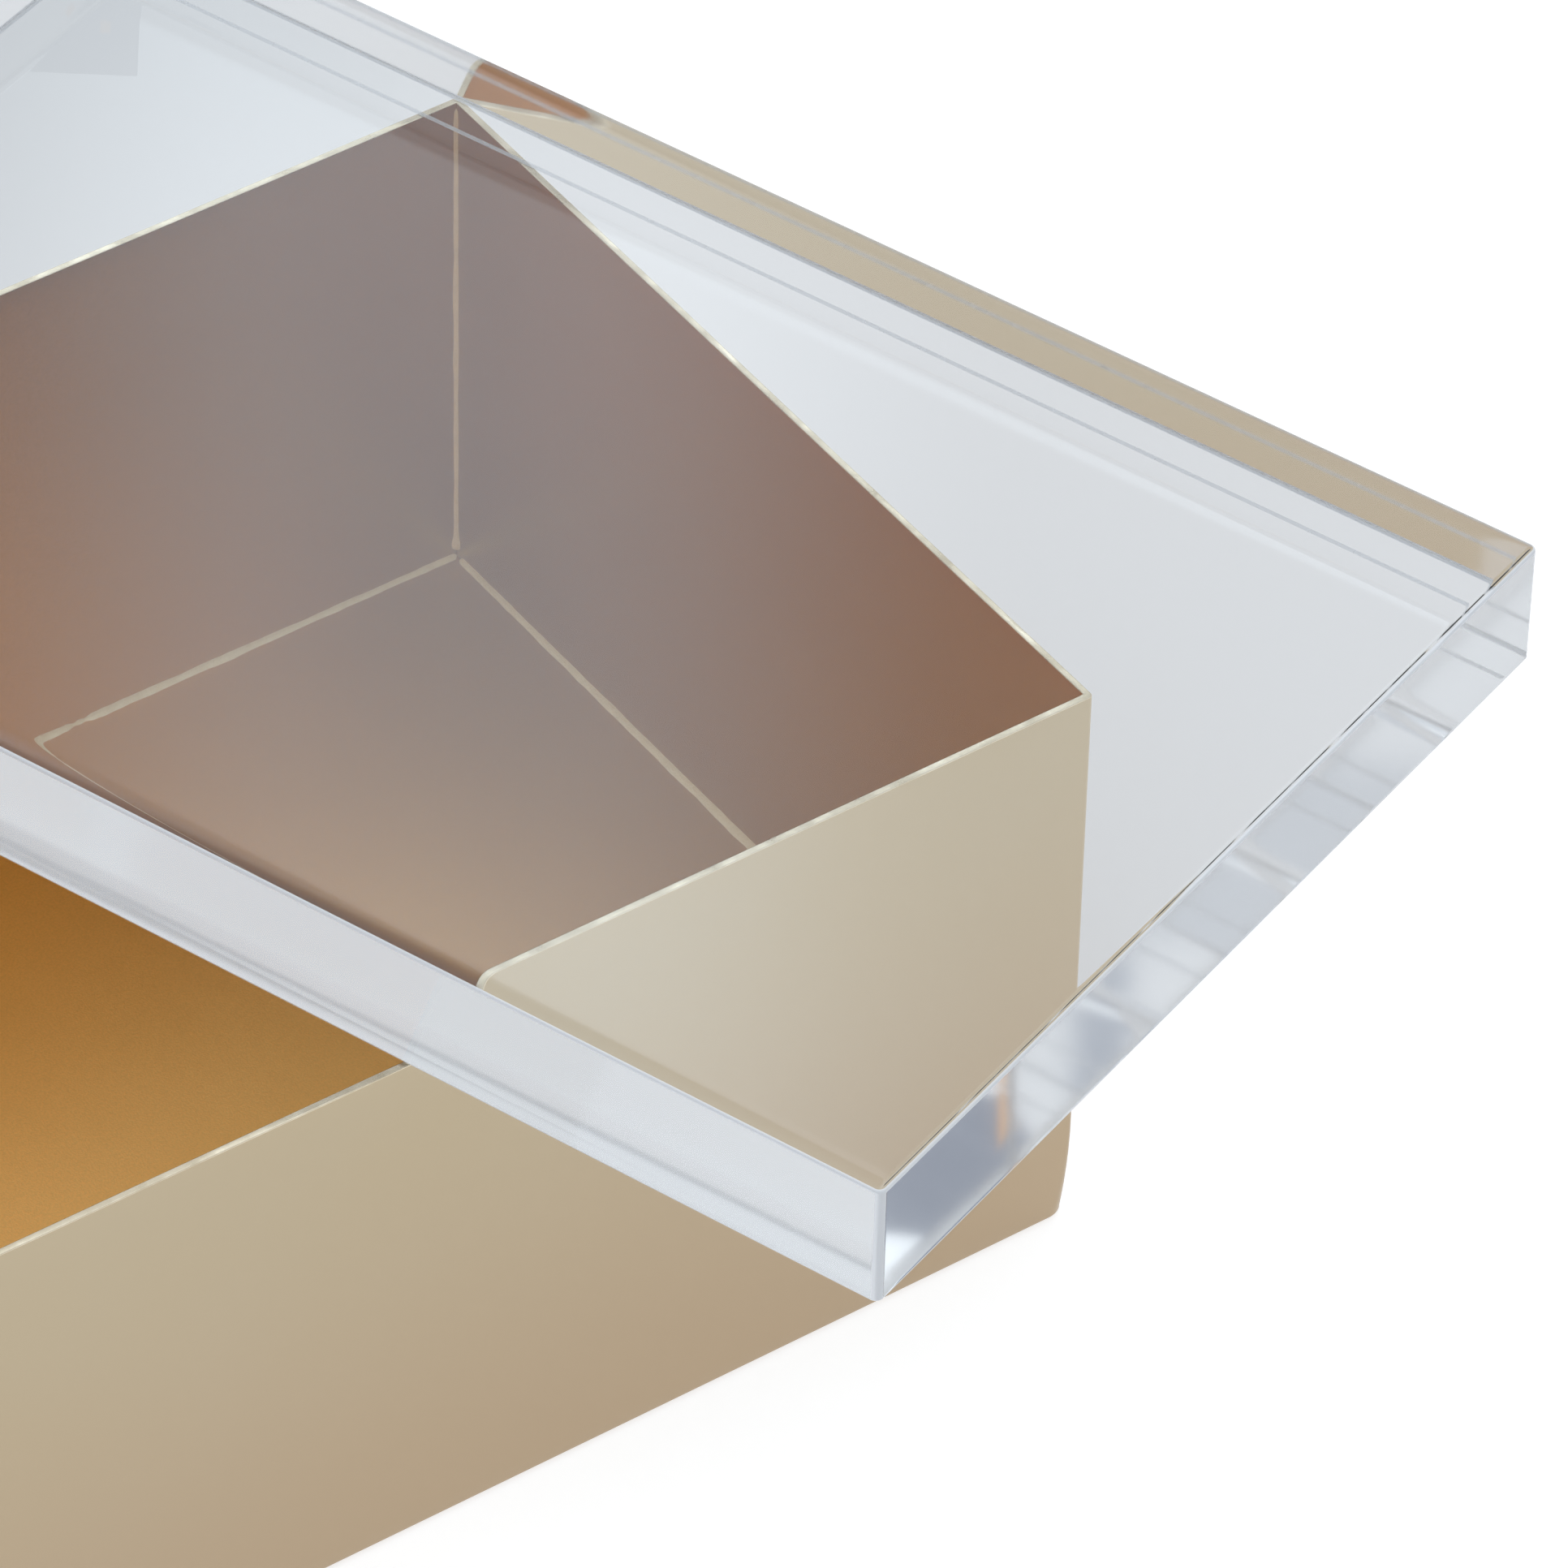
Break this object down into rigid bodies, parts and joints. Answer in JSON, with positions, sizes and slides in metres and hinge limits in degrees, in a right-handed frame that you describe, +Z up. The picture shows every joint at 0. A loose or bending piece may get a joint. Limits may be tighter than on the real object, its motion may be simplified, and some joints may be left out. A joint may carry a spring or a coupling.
{
  "type": "metal box with acrylic lid",
  "caption": "Low rectangular gilt sheet-metal box, open at the top, with a thick loose clear acrylic slab for a lid, lying turned across the rim.",
  "frame": {"origin": "middle of the felt pad's underside, where the box stands", "axes": "+Z up, +X along the box's length, +Y to its back"},
  "size_m": [0.2834, 0.2638, 0.1016],
  "materials": {
    "clear_acrylic": "clear cast acrylic with polished faces and edges",
    "gilt_sheet": "satin champagne-gold plated sheet",
    "gilt_floor": "fine-grained satin gold plated sheet",
    "solder": "plated solder fillet, slightly uneven",
    "felt": "pressed felt"
  },
  "bodies": {
    "box": {"floor_plate": "gilt_floor", "front_wall": "gilt_sheet", "back_wall": "gilt_sheet", "left_wall": "gilt_sheet", "right_wall": "gilt_sheet", "felt_pad": "felt", "corner_bead_back_right": "solder", "corner_bead_back_left": "solder", "corner_bead_front_left": "solder", "corner_bead_front_right": "solder", "floor_bead_front": "solder", "floor_bead_right": "solder", "floor_bead_back": "solder", "floor_bead_left": "solder"},
    "lid": {"acrylic_lid": "clear_acrylic"}
  },
  "joints": [
    {"name": "lid_lift", "type": "slide", "parent": "box", "child": "lid", "axis": [0, 0, 1], "range_m": [0, 0.12]}
  ]
}
